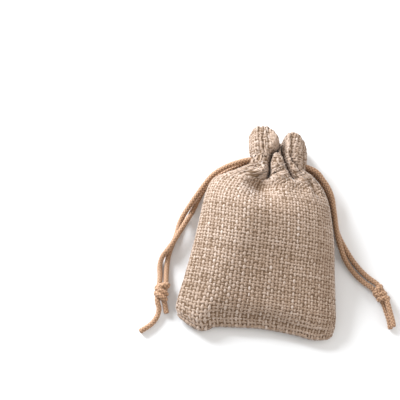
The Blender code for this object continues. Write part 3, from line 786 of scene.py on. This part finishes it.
BRAID_LAY = 0.0056  # length of cord that one bundle takes for a turn
BRAID_RELIEF = 0.00032  # how deep the gaps between the bundles are
BRAID_GAP_PAINTED_SHADE = -0.12  # painted shade in a gap between bundles, and painted light: how much lighter a bundle's crown is
BRAID_CROWN_PAINTED_LIGHT = 0.75
BRAID_PAINTED_LIGHT_CURVE = 1.3  # how late the painted light comes on the way up to the crown
CORD_FIBRE_TONE = 0.7  # how much the fibres show in the shade
CORD_SHADER = {
    "Base Color": (0.5, 0.3, 0.17, 1),
    "Roughness": 0.60,
    "Sheen Weight": 0.25,
    "Sheen Roughness": 0.5,
}
# The cord's colours from dark to pale: the darkest are reached mostly in the painted shade of the braid's
# gaps.
CORD_COLOURS = (
    (0.15, (0.10, 0.045, 0.019)),
    (0.6, (0.31, 0.163, 0.082)),
    (1.0, (0.55, 0.335, 0.195)),
)


def smooth_line(points):
    """Evenly spaced points on a smooth curve through a route's own points, and the length up to each."""
    points = np.array(points, float)
    legs = np.linalg.norm(np.diff(points, axis=0), axis=1)
    places = np.concatenate([[0], np.cumsum(legs)])
    fine = np.linspace(0, places[-1], ROUTE_STEPS * len(points))
    tangents = np.gradient(points, places, axis=0)
    index = np.clip(np.searchsorted(places, fine, side="right") - 1, 0, len(legs) - 1)
    length = legs[index][:, None]
    part = ((fine - places[index]) / legs[index])[:, None]
    line = between(part, length, points[index], tangents[index], points[index + 1], tangents[index + 1])
    run = run_of(line)
    marks = np.linspace(0, run[-1], round(run[-1] / CORD_RING_GAP) + 1)
    return np.stack([np.interp(marks, run, values) for values in line.T], axis=1), marks


def untwisted(line, closed):
    """Sideways directions along a line that turn no more than the line does, and those ahead."""
    ahead = np.roll(line, -1, axis=0) - np.roll(line, 1, axis=0) if closed else np.gradient(line, axis=0)
    ahead = unit(ahead)
    aside = np.cross(ahead[0], ANY_WAY)
    sides = []
    for direction in ahead:
        aside = unit(aside - direction * (aside @ direction))
        sides.append(aside)
    return np.array(sides), ahead


def braid(line, run, radii, closed):
    """Rings of a braided cord along a line, and how raised each point is, from 0 in a gap to 1."""
    sides, ahead = untwisted(line, closed)
    over = np.cross(ahead, sides)
    angles = np.arange(CORD_SIDES) * 2 * math.pi / CORD_SIDES
    lay = run[:, None] * 2 * math.pi / BRAID_LAY
    # Two sets of bundles wind opposite ways, and take turns to be on top where they cross.
    one_way = (angles + lay) * BRAID_STRANDS / 2
    other_way = (angles - lay) * BRAID_STRANDS / 2
    crossing = np.round(one_way / math.pi) + np.round(other_way / math.pi)
    raised = np.abs(np.where(crossing % 2 == 0, np.cos(one_way), np.cos(other_way)))
    reach = radii[:, None] - BRAID_RELIEF * (1 - raised)
    rings = (
        line[:, None]
        + sides[:, None] * (reach * np.cos(angles))[..., None]
        + over[:, None] * (reach * np.sin(angles))[..., None]
    )
    return rings, raised


def ring_faces(rings, first, closed):
    """The faces from ring to ring, counted from this first vertex, with a cap at either open end."""
    index = first + np.arange(rings * CORD_SIDES).reshape(rings, CORD_SIDES)
    ahead = np.roll(index, -1, axis=0) if closed else index[1:]
    here = index if closed else index[:-1]
    walls = np.stack([here, np.roll(here, -1, axis=1), np.roll(ahead, -1, axis=1), ahead], axis=-1)
    ends = [] if closed else [index[:1, ::-1], index[-1:]]
    return [walls.reshape(-1, 4), *ends]


def cord_material():
    material = new_material("drawcord_braid", CORD_SHADER)
    fibres = noise(material, {"Scale": 2200, "Detail": 3})
    value = mixed(material, "MULTIPLY_ADD", fibres, CORD_FIBRE_TONE, stored_tone(material))
    dress(material, value, CORD_COLOURS, fibres, {"Distance": 0.00008, "Strength": 0.5})
    return material


def add_braided(name, strands, material):
    """One mesh of braided cords. strands: (line, run, radii, closed) of each."""
    vertices, faces, tones, first = [], [], [], 0
    for line, run, radii, closed in strands:
        rings, raised = braid(line, run, radii, closed)
        vertices.append(rings.reshape(-1, 3))
        # Painted shade and light: each point's stored tone is darker in the braid's gaps and lighter on its
        # crowns.
        tones.append(BRAID_GAP_PAINTED_SHADE + BRAID_CROWN_PAINTED_LIGHT * raised.ravel() ** BRAID_PAINTED_LIGHT_CURVE)
        faces += ring_faces(len(line), first, closed)
        first += len(line) * CORD_SIDES
    piece = add_piece(name, np.concatenate(vertices), faces, material)
    give_tones(piece, np.concatenate(tones))
    return piece


cord_finish = cord_material()
for name, (start, strand, tail, length, stood_for) in CORDS.items():
    line, run = smooth_line((start, *strand, *tail))
    line = line + seam_middle
    narrowing = (1 - np.clip((run[-1] - run) / CORD_END_ROUND, 0, 1)) ** 2
    radii = CORD_DIAMETER / 2 * np.sqrt(1 - CORD_END_LOST * narrowing)
    piece = add_braided(name, [(line, run, radii, False)], cord_finish)
    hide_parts(*stood_for)


# -------------------------------------------------------------------------------------------- the knots
# Each pair of cord ends is tied in one overhand knot, pulled tight: three bands of the cord lean across
# one another round the cords' own way through.

# x, up: the middle of the knot. turn: which way the cords run through it, in degrees round from +X. width,
# thick: its size across them and up from the surface.
KNOT_COLUMNS = ("x", "up", "turn", "width", "thick")
KNOTS = {
    "left": (-0.0437, 0.0127, -92.0, 0.0068, 0.0056),
    "right": (0.0514, 0.0244, -52.0, 0.0060, 0.0054),
}
KNOT_LIFT = 0.0001

# Each band's place along the knot, how many degrees it leans, and the cord's radius in it.
BANDS = (
    (-0.0023, -24.0, 0.00145),
    (0.0000, 20.0, 0.00125),
    (0.0022, 26.0, 0.00130),
)
BAND_RINGS = 84

for side, row in KNOTS.items():
    knot = dict(zip(KNOT_COLUMNS, row))
    middle = seam_middle + (knot["x"], knot["up"], knot["thick"] / 2 + KNOT_LIFT)
    heading = math.radians(knot["turn"])
    along = np.array([math.cos(heading), math.sin(heading), 0])
    over = np.array([-math.sin(heading), math.cos(heading), 0])
    turns = np.arange(BAND_RINGS) * 2 * math.pi / BAND_RINGS
    strands = []
    for place, lean, radius in BANDS:
        half_width = knot["width"] / 2 - radius
        half_height = knot["thick"] / 2 - radius
        leaning = math.tan(math.radians(lean)) * half_width * np.cos(turns)
        line = (
            middle
            + along * (place + leaning)[:, None]
            + over * (half_width * np.cos(turns))[:, None]
            + np.array([0, 0, 1.0]) * (half_height * np.sin(turns))[:, None]
        )
        run = np.cumsum(np.linalg.norm(np.roll(line, -1, axis=0) - line, axis=1))
        strands.append((line, run, np.full(BAND_RINGS, radius), True))
    knot_piece = add_braided(side + "_overhand_knot", strands, cord_finish)
    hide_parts(side + "_knot")


# ---------------------------------------------------------------------------------- the floor and light
# The sack lies on a plain pale floor. A large soft lamp stands low beyond its upper left, a weak wide one to
# its right, and pale light comes from all round, so that the shadows fall softly to its lower right.

FLOOR_HALF = 2.0  # half of its side
FLOOR_DROP = 0.0001  # how far it lies below the cloth, so that the two never share a plane
FLOOR_SHADER = {"Base Color": (0.86, 0.86, 0.855, 1), "Roughness": 0.9}
# turn, lift: where a lamp stands, in degrees. size: how wide it is. power: in watts.
LAMP_COLUMNS = ("turn", "lift", "size", "power", "colour")
LAMPS = {
    "soft_lamp": (-127.0, 24.0, 0.45, 14.7, (0.93, 0.975, 1.03)),
    "fill_lamp": (95.0, 35.0, 0.60, 2.2, (1.0, 0.98, 0.96)),
}
LAMP_DISTANCE = 0.8
SKY_INPUTS = {"Color": (1.0, 0.985, 0.975, 1), "Strength": 0.71}

corners = [(x * FLOOR_HALF, y * FLOOR_HALF, -FLOOR_DROP) for x, y in ((-1, -1), (1, -1), (1, 1), (-1, 1))]
floor_mesh = bpy.data.meshes.new("floor")
floor_mesh.from_pydata(corners, [], [(0, 1, 2, 3)])
floor_mesh.materials.append(new_material("pale_floor", FLOOR_SHADER))
floor = bpy.data.objects.new("floor", floor_mesh)
bpy.context.scene.collection.objects.link(floor)

for name, row in LAMPS.items():
    sizes = dict(zip(LAMP_COLUMNS, row))
    toward = look_from(math.radians(sizes["turn"]), math.radians(sizes["lift"]))
    lamp = bpy.data.objects.new(name, bpy.data.lights.new(name, "AREA"))
    bpy.context.scene.collection.objects.link(lamp)
    lamp.data.shape = "DISK"
    lamp.data.size = sizes["size"]
    lamp.data.energy = sizes["power"]
    lamp.data.color = sizes["colour"]
    lamp.location = LAMP_DISTANCE * toward
    lamp.rotation_euler = toward.to_track_quat("Z", "Y").to_euler()

world = bpy.data.worlds.new("pale_room")
bpy.context.scene.world = world
world.use_nodes = True
feed(world, world.node_tree.nodes["Background"], SKY_INPUTS)
bpy.context.scene.view_settings.view_transform = "Standard"
